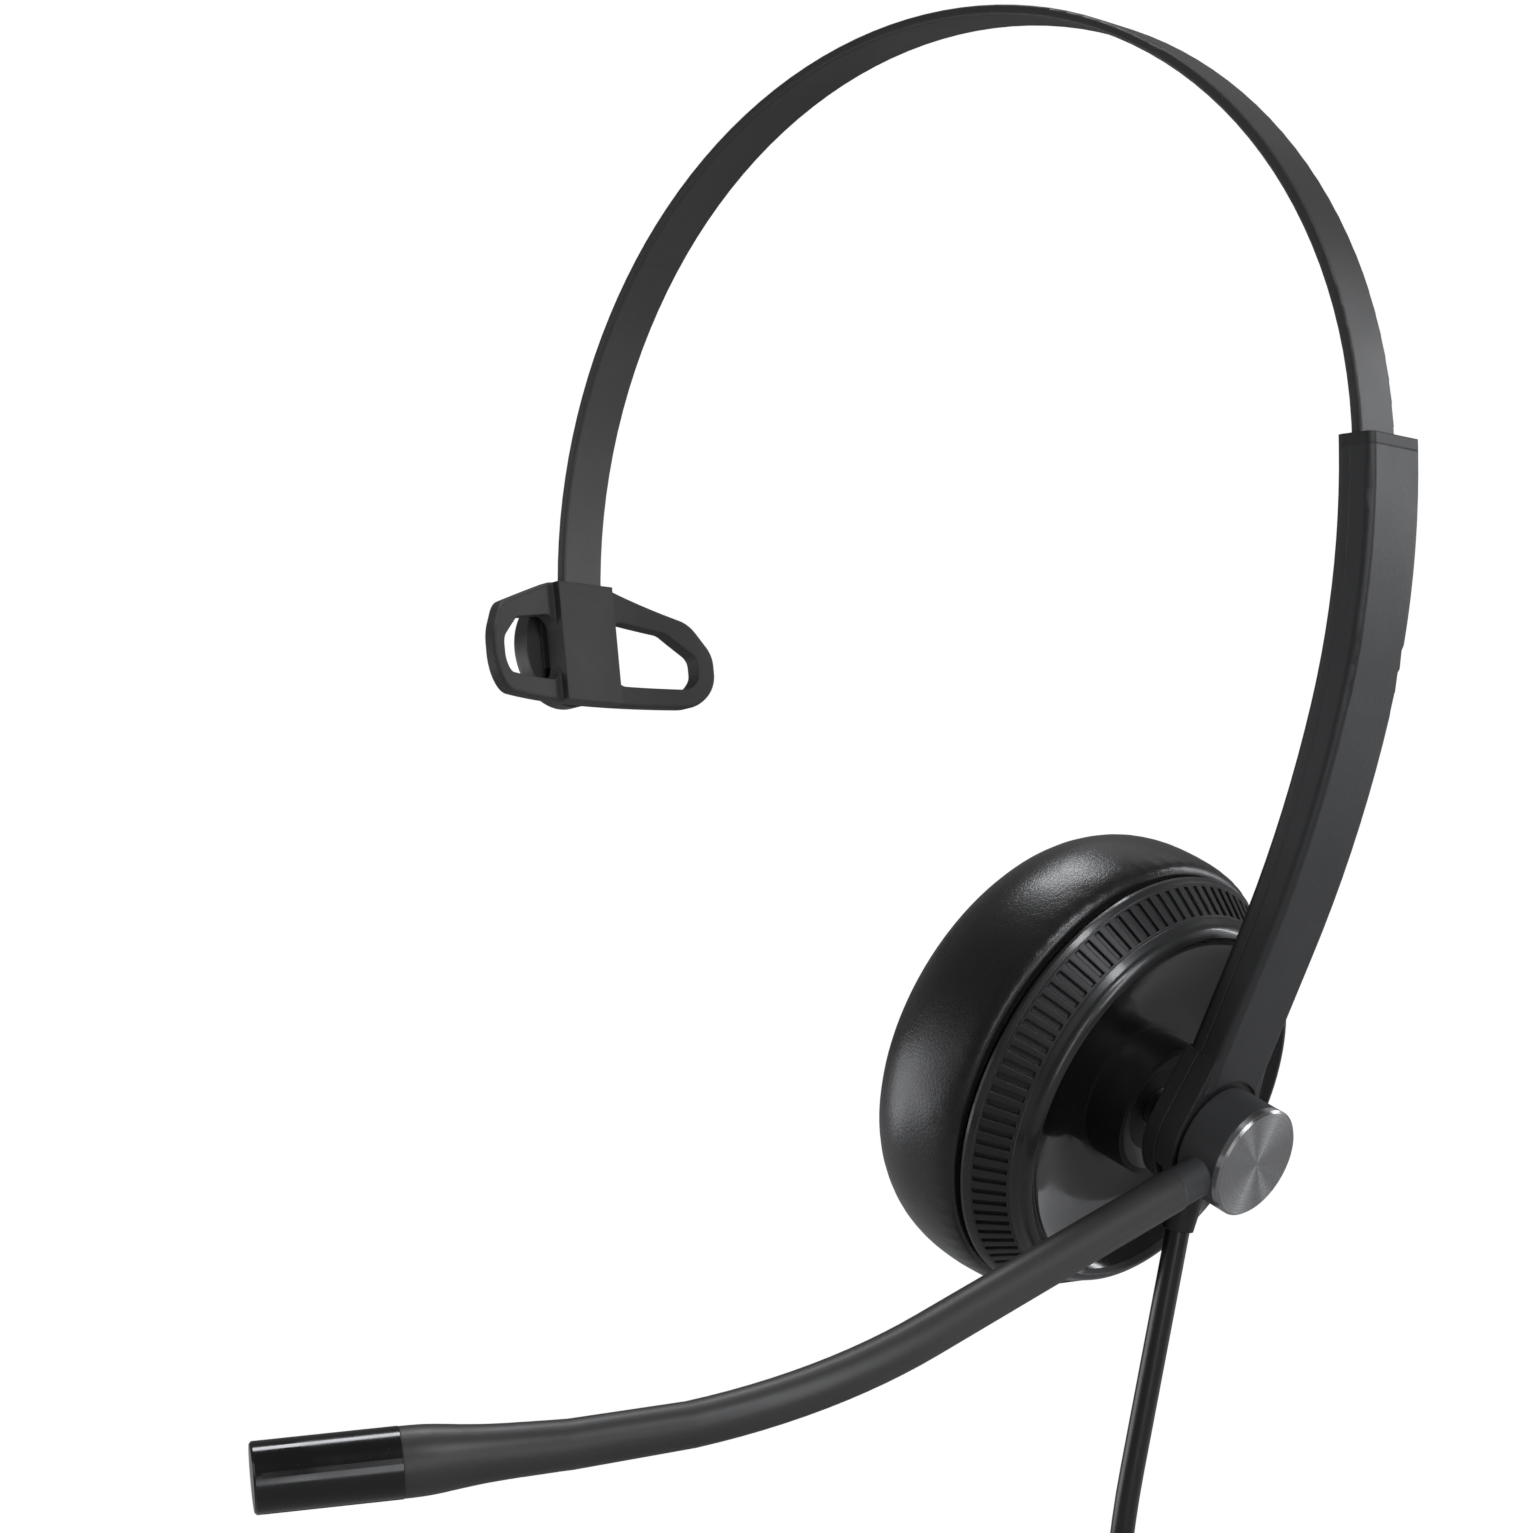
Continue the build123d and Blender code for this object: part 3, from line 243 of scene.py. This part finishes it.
def leatherette(name, level):
    """Protein leatherette: fine pebble grain and pores with soft creases, and a low skin sheen."""
    mat, tree, bsdf = shader(name)
    where = place(tree)
    warp = add_node(tree, "TexNoise", Vector=where, Scale=420.0, Detail=3.0)
    bent = add_node(tree, "VectorMath", operation="MULTIPLY_ADD")
    tree.links.new(warp.outputs["Color"], bent.inputs[0])
    bent.inputs[1].default_value = Vector((0.7, 0.7, 0.7)) * MM
    tree.links.new(where, bent.inputs[2])
    pebble = add_node(tree, "TexVoronoi", Vector=bent.outputs[0], Scale=1500.0)
    pebble.feature = "DISTANCE_TO_EDGE"
    pore = add_node(tree, "TexNoise", Vector=where, Scale=2600.0, Detail=2.0)
    crease = add_node(tree, "TexNoise", Vector=where, Scale=90.0, Detail=5.0, Roughness=0.65)
    valley = ranged(tree, pebble.outputs[0], 0.0, 0.16, 0.0, 1.0)
    tree.links.new(mixed(tree, valley, grey(level * 0.55, COOL),
                         mixed(tree, ranged(tree, crease.outputs[0], 0.35, 0.7, 0.0, 1.0),
                               grey(level * 0.9, COOL), grey(level * 1.25, WARM))),
                   bsdf.inputs["Base Color"])
    tree.links.new(ranged(tree, crease.outputs[0], 0.3, 0.7, 0.36, 0.25), bsdf.inputs["Roughness"])
    first = add_node(tree, "Bump", Height=valley, Distance=0.011 * MM, Strength=0.8)
    second = add_node(tree, "Bump", Height=crease.outputs[0], Distance=0.12 * MM, Strength=0.5,
                      Normal=first.outputs[0])
    third = add_node(tree, "Bump", Height=pore.outputs[0], Distance=0.003 * MM, Strength=0.7,
                     Normal=second.outputs[0])
    tree.links.new(third.outputs[0], bsdf.inputs["Normal"])
    bsdf.inputs["Sheen Weight"].default_value = 0.06
    bsdf.inputs["Coat Weight"].default_value = 0.18
    bsdf.inputs["Coat Roughness"].default_value = 0.3
    return mat


def metal(name, level, rough, tint=NEUTRAL, stretch=(1.0, 14.0, 1.0)):
    """Plated or brushed metal with fine marks, drawn out across the direction of most stretch."""
    mat, tree, bsdf = shader(name)
    lines = add_node(tree, "Mapping", Vector=place(tree), Scale=tuple(500.0 * s for s in stretch))
    grain = add_node(tree, "TexNoise", Vector=lines.outputs[0], Scale=1.0, Detail=4.0, Roughness=0.7)
    stain = add_node(tree, "TexNoise", Vector=place(tree), Scale=120.0, Detail=3.0)
    tree.links.new(mixed(tree, ranged(tree, stain.outputs[0], 0.3, 0.7, 0.0, 1.0),
                         grey(level * 0.9, tint), grey(level, tint)), bsdf.inputs["Base Color"])
    tree.links.new(ranged(tree, grain.outputs[0], 0.25, 0.75, rough * 0.7, rough * 1.4),
                   bsdf.inputs["Roughness"])
    bump = add_node(tree, "Bump", Height=grain.outputs[0], Distance=0.002 * MM, Strength=0.6)
    tree.links.new(bump.outputs[0], bsdf.inputs["Normal"])
    bsdf.inputs["Metallic"].default_value = 1.0
    return mat


WAVE_PERIOD = math.tau / 20                       # of Blender's wave texture at scale 1


def woven(name, level, spacing, depth):
    """Plain-weave cloth: two crossed sets of threads, spacing and depth in millimetres."""
    mat, tree, bsdf = shader(name)
    where = place(tree)
    threads = []
    for axis, phase in (("Y", 0.0), ("Z", math.pi / 2)):
        wave = add_node(tree, "TexWave", Vector=where, Scale=WAVE_PERIOD / (spacing * MM),
                        Phase_Offset=phase)
        wave.bands_direction = axis
        threads.append(wave.outputs[0])
    weave = add_node(tree, "Math", operation="MAXIMUM")
    tree.links.new(threads[0], weave.inputs[0])
    tree.links.new(threads[1], weave.inputs[1])
    fuzz = add_node(tree, "TexNoise", Vector=where, Scale=3000.0, Detail=2.0)
    tree.links.new(mixed(tree, weave.outputs[0], grey(level * 0.35, COOL), grey(level, COOL)),
                   bsdf.inputs["Base Color"])
    height = add_node(tree, "Math", operation="ADD")
    tree.links.new(weave.outputs[0], height.inputs[0])
    tree.links.new(fuzz.outputs[0], height.inputs[1])
    bump = add_node(tree, "Bump", Height=height.outputs[0], Distance=depth * MM, Strength=0.8)
    tree.links.new(bump.outputs[0], bsdf.inputs["Normal"])
    bsdf.inputs["Roughness"].default_value = 0.85
    bsdf.inputs["Sheen Weight"].default_value = 0.25
    return mat


def turned_metal(name, level, rough):
    """Metal face turned on a lathe: rings about the hub axis, so light gathers in two fans."""
    mat, tree, bsdf = shader(name)
    around, radius = round_the_hub(tree)
    world = add_node(tree, "VectorTransform", vector_type="VECTOR", convert_from="OBJECT",
                     convert_to="WORLD", Vector=around)
    unit = add_node(tree, "VectorMath", operation="NORMALIZE")
    tree.links.new(world.outputs[0], unit.inputs[0])
    tree.links.new(unit.outputs[0], bsdf.inputs["Tangent"])
    rings = add_node(tree, "TexNoise", noise_dimensions="1D", Scale=9000.0, Detail=3.0, W=radius)
    tree.links.new(mixed(tree, rings.outputs[0], grey(level * 0.7), grey(level * 1.15)),
                   bsdf.inputs["Base Color"])
    tree.links.new(ranged(tree, rings.outputs[0], 0.3, 0.7, rough * 0.8, rough * 1.25),
                   bsdf.inputs["Roughness"])
    bump = add_node(tree, "Bump", Height=rings.outputs[0], Distance=0.002 * MM, Strength=0.5)
    tree.links.new(bump.outputs[0], bsdf.inputs["Normal"])
    bsdf.inputs["Metallic"].default_value = 1.0
    bsdf.inputs["Anisotropic"].default_value = 0.97
    bsdf.inputs["Anisotropic Rotation"].default_value = 0.25      # spread across the rings
    return mat


def dish_gloss(name, level, satin_radius, satin_rough=0.5):
    """The dish: polished, but for a spark-eroded satin boss round the hub axis."""
    mat = polished(name, level)
    tree = mat.node_tree
    bsdf = tree.nodes["Principled BSDF"]
    outside = ranged(tree, round_the_hub(tree)[1], satin_radius * 0.95, satin_radius * 1.1, 0.0, 1.0)
    gloss = bsdf.inputs["Roughness"].links[0].from_socket
    both = add_node(tree, "Mix", Factor=outside, A=satin_rough, B=gloss)
    tree.links.new(both.outputs[0], bsdf.inputs["Roughness"])
    bsdf.inputs["Coat Weight"].default_value = 0.0
    return mat


# ---------------------------------------------------------------- materials of the CAD nodes
GLOSS_LEVEL = 0.006
CUP_LEVEL = 0.012
BOSS_RADIUS = 9.0 * MM
MATERIALS = {
    "band_plastic": moulded("band_satin", 0.036, 0.44, wear=0.5, tint=WARM),
    "pad_rubber": moulded("pad_rubber", 0.034, 0.62, grain=0.5, depth=0.012, wear=0.2, tint=WARM),
    "arm_plastic": moulded("arm_satin", 0.024, 0.46, grain=0.3, depth=0.007),
    "boom_plastic": moulded("pivot_satin", 0.046, 0.5, grain=0.3, depth=0.008),
    "boom_sleeve": moulded("boom_rubber", 0.043, 0.42, grain=0.45, depth=0.006, wear=0.1, tint=WARM),
    "gloss_black": polished("piano_black", GLOSS_LEVEL),
    "cup_plastic": moulded("cup_satin", CUP_LEVEL, 0.42, grain=0.28, depth=0.006),
    "cup_rim": moulded("cup_rim_satin", CUP_LEVEL, 0.34, grain=0.28, depth=0.003, coat=0.35),
    "nylon": moulded("nylon", 0.018, 0.5, grain=0.4),
    "spring_steel": metal("spring_steel", 0.5, 0.3),
    "steel": metal("plated_steel", 0.45, 0.28),
    "magnet": metal("nickel", 0.6, 0.2),
    "capsule_metal": metal("drawn_aluminium", 0.7, 0.25),
    "usb_metal": metal("usb_nickel", 0.68, 0.2, stretch=(1.0, 1.0, 10.0)),
    "contact_gold": metal("gold_plate", 0.85, 0.22, tint=(1.0, 0.74, 0.33)),
    "cap_metal": turned_metal("turned_cap", 0.43, 0.3),
    "cone_film": polished("cone_film", 0.3, rough=0.2),
    "cloth": woven("driver_cloth", 0.02, 1.1103, 0.05),
    "soft_rubber": moulded("boot_rubber", 0.012, 0.7, grain=0.5),
    "cord_jacket": moulded("pvc_jacket", 0.010, 0.3, grain=0.7, depth=0.004, wear=0.05, coat=0.2,
                           smudge=0.04),
    "cord_rubber": moulded("relief_rubber", 0.012, 0.45, grain=0.4),
    "tie_rubber": moulded("tie_rubber", 0.02, 0.6, grain=0.4),
    "usb_plastic": moulded("usb_overmould", 0.014, 0.5, grain=0.35),
    "usb_insert": moulded("usb_insert", 0.62, 0.4, grain=0.4, wear=0.0, speckle=0.03),
    "leatherette": leatherette("leatherette", 0.007),
}
for part in frame["record"]["subparts"]:
    mesh = nodes[part["node"]].data
    mesh.materials.clear()
    mesh.materials.append(MATERIALS[part["material_slot"]])
# two pieces have a finish of their own
nodes["dish_cover"].data.materials[0] = dish_gloss("dish_black", GLOSS_LEVEL, BOSS_RADIUS)
nodes["mic_barrel"].data.materials[0] = polished("mic_black", GLOSS_LEVEL, rough=0.12, coat=0.12)


def new_mesh_piece(name, body, material, vertices, faces):
    """A smooth mesh object from points in metres, with a material, riding on a body."""
    mesh = bpy.data.meshes.new(name)
    mesh.from_pydata([tuple(v) for v in vertices], [], faces)
    mesh.update()
    mesh.polygons.foreach_set("use_smooth", [True] * len(mesh.polygons))
    mesh.materials.append(MATERIALS[material])
    piece = bpy.data.objects.new(name, mesh)
    scene.collection.objects.link(piece)
    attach(piece, body)
    return piece


# ---------------------------------------------------------------- lead
CORD_DIAMETER = 3.0 * MM
PITCH = 3.05 * MM
COIL_RADIUS = 16.0 * MM
COIL_CENTRE = Vector((51.7, 5.956, -230.595)) * MM
# from the strain relief down to the hank, as in the CAD
ROUTE = [Vector(p) * MM for p in (
    (51.7, 2.6, -143.6), (51.7, 2.6, -164.0), (51.7, 2.6, -184.0), (51.7, 7.776, -203.319),
    (51.7, 20.504, -216.046))]
# slots of the hank in the order that the lead fills them: row across, layer inward
SLOTS = [(0, 0), (1, 0), (2, 0), (2, 1), (1, 1), (0, 1), (0, 2), (1, 2), (2, 2), (2, 3), (1, 3),
         (0, 3), (-1, 3), (-2, 3), (-2, 2), (-1, 2), (-1, 1), (-2, 1), (-2, 0), (-1, 0)]
MIDDLE_LAYER = 1.5
POINTS_PER_TURN = 16
# degrees round the hank: where the lead joins and leaves it, its first change of slot, and how
# much of a turn each change takes
JOIN_ANGLE, LEAVE_ANGLE, FIRST_CHANGE, CHANGE = 45.0, 6210.0, 150.0, 45.0


def coil_points():
    """Control points of the hank: each turn keeps its slot, then eases over to the next one."""
    changes, at = [], FIRST_CHANGE
    for index in range(1, len(SLOTS)):
        before, after = SLOTS[index - 1], SLOTS[index]
        if index > 1:
            at += 360.0
        if before[1] != after[1] or (index > 1 and SLOTS[index - 2][1] != before[1]):
            at -= CHANGE
        changes.append(at)
    step = 360.0 / POINTS_PER_TURN
    # the curve passes inside its control points, so they stand this much further out
    swell = 1 / (0.75 + 0.25 * math.cos(math.radians(step)))
    points, angle = [], JOIN_ANGLE + step
    while angle <= LEAVE_ANGLE + 1e-6:
        row, layer = SLOTS[0]
        for change, (next_row, next_layer) in zip(changes, SLOTS[1:]):
            share = min(1.0, max(0.0, (angle - change) / CHANGE + 0.5))
            share = share * share * (3 - 2 * share)
            if share <= 0:
                break
            row, layer = row + (next_row - row) * share, layer + (next_layer - layer) * share
        radius = (COIL_RADIUS + (MIDDLE_LAYER - layer) * PITCH) * swell
        a = math.radians(angle)
        points.append(COIL_CENTRE + Vector((row * PITCH, radius * math.sin(a), radius * math.cos(a))))
        angle += step
    return points


OUTER_RADIUS = COIL_RADIUS + MIDDLE_LAYER * PITCH
# off the hank's outer layer and down to the plug
TAIL = [COIL_CENTRE + Vector((x * MM, OUTER_RADIUS, z * MM))
        for x, z in ((-3.05, -6.5), (0, -13.5), (0, -19.8))]


def lead_curve(name, points):
    """The lead as one NURBS curve through its route's control points."""
    curve = bpy.data.curves.new(name, "CURVE")
    curve.dimensions = "3D"
    spline = curve.splines.new("NURBS")
    spline.points.add(len(points) - 1)
    for target, point in zip(spline.points, points):
        target.co = (*point, 1.0)
    spline.order_u = 3
    spline.use_endpoint_u = True
    spline.resolution_u = 6
    curve.bevel_depth = CORD_DIAMETER / 2
    curve.bevel_resolution = 5
    curve.use_fill_caps = True
    curve.materials.append(MATERIALS["cord_jacket"])
    piece = bpy.data.objects.new(name, curve)
    scene.collection.objects.link(piece)
    return piece


lead = lead_curve("usb_lead", ROUTE + coil_points() + TAIL)
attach(lead, "sleeve")
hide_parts("cord", "cord_coil", "cord_tail")

# ---------------------------------------------------------------- ear cushion
# radius and offset along the hub axis, in millimetres: the welded seam, and the cushion's outline
# from its groove beside the ring, over its face and into the ear hole
SEAM = (15.25, -15.05)
CUSHION = [(25.2, -2.2), (26.5, -1.1), (27.7, -0.85), (28.5, -1.6), (28.92, -3.4), (29.0, -6.4),
           (28.7, -9.6), (27.75, -12.7), (25.9, -15.5), (23.3, -17.2), (20.6, -17.75), (18.3, -17.5),
           (16.7, -16.7), (15.7, -15.6), SEAM, (14.75, -14.7), (14.2, -13.6), (13.75, -11.6),
           (13.55, -9.4), (13.7, -7.9), (14.6, -7.45)]
SPAN_PARTS = 3                                    # rows of the skin to each span of the outline
SEGMENTS = 220


def smooth_line(points, parts):
    """Catmull-Rom line through points, each span in that many parts."""
    ends = [points[0], *points, points[-1]]
    line = []
    for p0, p1, p2, p3 in zip(ends, ends[1:], ends[2:], ends[3:]):
        for k in range(parts):
            t = k / parts
            line.append(tuple(0.5 * (2 * b + (c - a) * t + (2 * a - 5 * b + 4 * c - d) * t * t
                                     + (3 * b - a - 3 * c + d) * t ** 3)
                              for a, b, c, d in zip(p0, p1, p2, p3)))
    return line + [tuple(points[-1])]


def lathe(profile, segments, move):
    """Points and faces of a profile turned about the hub axis, each point shifted by move."""
    points, faces = [], []
    for j in range(segments):
        a = math.tau * j / segments
        for r, o in profile:
            radius, offset = move(r, o, a)
            points.append(at_hub(offset, radius * math.cos(a), radius * math.sin(a)))
    n = len(profile)
    for j in range(segments):
        k = (j + 1) % segments
        faces += [(j * n + i, j * n + i + 1, k * n + i + 1, k * n + i) for i in range(n - 1)]
    return points, faces


def from_seam(r, o):
    """Distance from the welded seam, in millimetres."""
    return math.hypot(r - SEAM[0], o - SEAM[1])


def puckered(r, o, a):
    """Small gathers either side of the welded seam inside the ear hole."""
    near = math.exp(-from_seam(r, o) ** 2 / 2.2)
    ripple = (0.5 * math.sin(47 * a) + 0.3 * math.sin(31 * a + 1.3) + 0.25 * math.sin(73 * a + 0.4))
    return r + 0.16 * near * ripple, o - 0.12 * near * ripple


SIM_SCALE = 40.0                                  # Blender's cloth wants a cushion metres across
SIM_FRAMES = 24
PRESSURE = 4.0
EXTRA_SKIN = 0.02                                 # how much too large the skin is for its foam
GATHER_LIMIT = 0.06 * MM


def cloth_skin(points, faces, rows, pinned, limit):
    """The skin's points with the gathers of a cloth simulation, in which it is a little too large.

    A row is one point of the profile all round the ring, and the pinned rows stay where they are.
    Only the unevenness round the ring is kept, so the cushion stays as round as the foam under it,
    and no point moves further than limit.
    """
    mesh = bpy.data.meshes.new("skin_at_rest")
    mesh.from_pydata([tuple((p - HUB) * SIM_SCALE) for p in points], [], faces)
    skin = bpy.data.objects.new("skin_at_rest", mesh)
    scene.collection.objects.link(skin)
    skin.vertex_groups.new(name="seams").add(
        [i for i in range(len(points)) if i % rows in pinned], 1.0, "REPLACE")
    cloth = skin.modifiers.new("skin", "CLOTH")
    rules = cloth.settings
    rules.quality = 5
    rules.mass = 0.15
    rules.tension_stiffness = rules.compression_stiffness = 12.0
    rules.shear_stiffness = 4.0
    rules.bending_stiffness = 0.15
    rules.use_pressure = True
    rules.uniform_pressure_force = PRESSURE
    rules.shrink_min = rules.shrink_max = -EXTRA_SKIN
    rules.vertex_group_mass = "seams"
    rules.effector_weights.gravity = 0.0
    cloth.point_cache.frame_end = SIM_FRAMES
    for frame_number in range(1, SIM_FRAMES + 1):
        scene.frame_set(frame_number)
    settled = skin.evaluated_get(bpy.context.evaluated_depsgraph_get()).data
    moved = [v.co / SIM_SCALE + HUB - p for v, p in zip(settled.vertices, points)]
    scene.frame_set(1)
    bpy.data.objects.remove(skin)
    bpy.data.meshes.remove(mesh)
    ring = len(points) // rows
    for row in range(rows):
        radial, axial = [], []
        for j in range(ring):
            a = math.tau * j / ring
            spoke = at_hub(0, math.cos(a), math.sin(a)) - at_hub(0, 0, 0)
            spoke.normalize()
            radial.append((moved[j * rows + row].dot(spoke), spoke))
            axial.append(moved[j * rows + row].dot(OUT))
        mean_radial, mean_axial = sum(r for r, _ in radial) / ring, sum(axial) / ring
        for j in range(ring):
            shift = (radial[j][0] - mean_radial) * radial[j][1] + (axial[j] - mean_axial) * OUT
            if shift.length > 0:
                shift *= limit * math.tanh(shift.length / limit) / shift.length
            points[j * rows + row] = points[j * rows + row] + shift
    return points


profile = smooth_line(CUSHION, SPAN_PARTS)
skin_points, skin_faces = lathe(profile, SEGMENTS, puckered)
groove_rows, lip_rows, seam_width = 9, 3, 0.3
pinned_rows = {i for i, (r, o) in enumerate(profile)
               if i < groove_rows or i >= len(profile) - lip_rows or from_seam(r, o) < seam_width}
skin_points = cloth_skin(skin_points, skin_faces, len(profile), pinned_rows, GATHER_LIMIT)
cushion = new_mesh_piece("leatherette_cushion", "ear_cup", "leatherette", skin_points, skin_faces)
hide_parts("ear_cushion")

# ---------------------------------------------------------------- surroundings
FLOOR_GAP = 30.0 * MM
FLOOR_RADIUS = 6.0
FLOOR_GREY = 0.4
AMBIENT = 0.14
bm = bmesh.new()
bmesh.ops.create_circle(bm, cap_ends=True, segments=96, radius=FLOOR_RADIUS)
floor_mesh = bpy.data.meshes.new("studio_floor")
bm.to_mesh(floor_mesh)
bm.free()
floor = bpy.data.objects.new("studio_floor", floor_mesh)
floor.location = (0, 0, cad_low.z - FLOOR_GAP)
scene.collection.objects.link(floor)


def backdrop(tree, lighting):
    """White to the camera, so that floor and background run together, and lighting to all else."""
    white = add_node(tree, "Emission", Color=(1, 1, 1, 1), Strength=1.0)
    path = tree.nodes.new("ShaderNodeLightPath")
    mix = tree.nodes.new("ShaderNodeMixShader")
    tree.links.new(path.outputs["Is Camera Ray"], mix.inputs[0])
    tree.links.new(lighting, mix.inputs[1])
    tree.links.new(white.outputs[0], mix.inputs[2])
    return mix.outputs[0]


mat, tree, bsdf = shader("studio_floor")
bsdf.inputs["Base Color"].default_value = grey(FLOOR_GREY)
bsdf.inputs["Roughness"].default_value = 0.9
tree.links.new(backdrop(tree, bsdf.outputs[0]), tree.nodes["Material Output"].inputs[0])
floor_mesh.materials.append(mat)

world = bpy.data.worlds.new("studio")
scene.world = world
world.use_nodes = True
tree = world.node_tree
tree.nodes.clear()
world_out = tree.nodes.new("ShaderNodeOutputWorld")
ambient = add_node(tree, "Background", Color=(1, 1, 1, 1), Strength=AMBIENT)
tree.links.new(backdrop(tree, ambient.outputs[0]), world_out.inputs[0])

MIDDLE = Vector((20.0, -20.0, -120.0)) * MM       # what every light is aimed at
LAMP_COLOUR = (0.98, 0.992, 1.03)


def softbox(name, azimuth, elevation, distance, width, height, radiance):
    """Rectangular studio light, seen in reflections but not by the camera. Azimuth 0 is in front
    (-Y) and 90 on the ear-cup side (+X), and distance and size are in metres."""
    a, e = math.radians(azimuth), math.radians(elevation)
    way = Vector((math.sin(a) * math.cos(e), -math.cos(a) * math.cos(e), math.sin(e)))
    data = bpy.data.lights.new(name, "AREA")
    data.shape, data.size, data.size_y = "RECTANGLE", width, height
    data.energy = radiance * width * height * math.pi
    data.color = LAMP_COLOUR
    lamp = bpy.data.objects.new(name, data)
    lamp.location = MIDDLE + way * distance
    lamp.rotation_mode = "QUATERNION"
    lamp.rotation_quaternion = way.to_track_quat("Z", "Y")
    lamp.visible_camera = False
    scene.collection.objects.link(lamp)


softbox("high_left", -108, 62, 1.1, 0.4, 0.28, 10.5)
softbox("high_right", 63, 47, 1.1, 0.26, 0.14, 19.0)
softbox("rear_right", 152, -4, 1.1, 0.8, 0.74, 0.85)
softbox("rear_high", 154, 24, 1.1, 0.08, 0.6, 15.0)
softbox("low_left", -62, -26, 0.38, 0.3, 0.26, 2.3)
softbox("front_fill", -40, -7, 1.1, 0.9, 0.42, 0.8)
softbox("front_right", 56, 3, 1.1, 0.24, 0.7, 3.0)
softbox("side_right", 86, 28, 1.2, 0.22, 0.8, 7.0)
softbox("rear_top", -150, 42, 1.1, 0.6, 0.4, 0.3)

scene.view_settings.view_transform = "Standard"
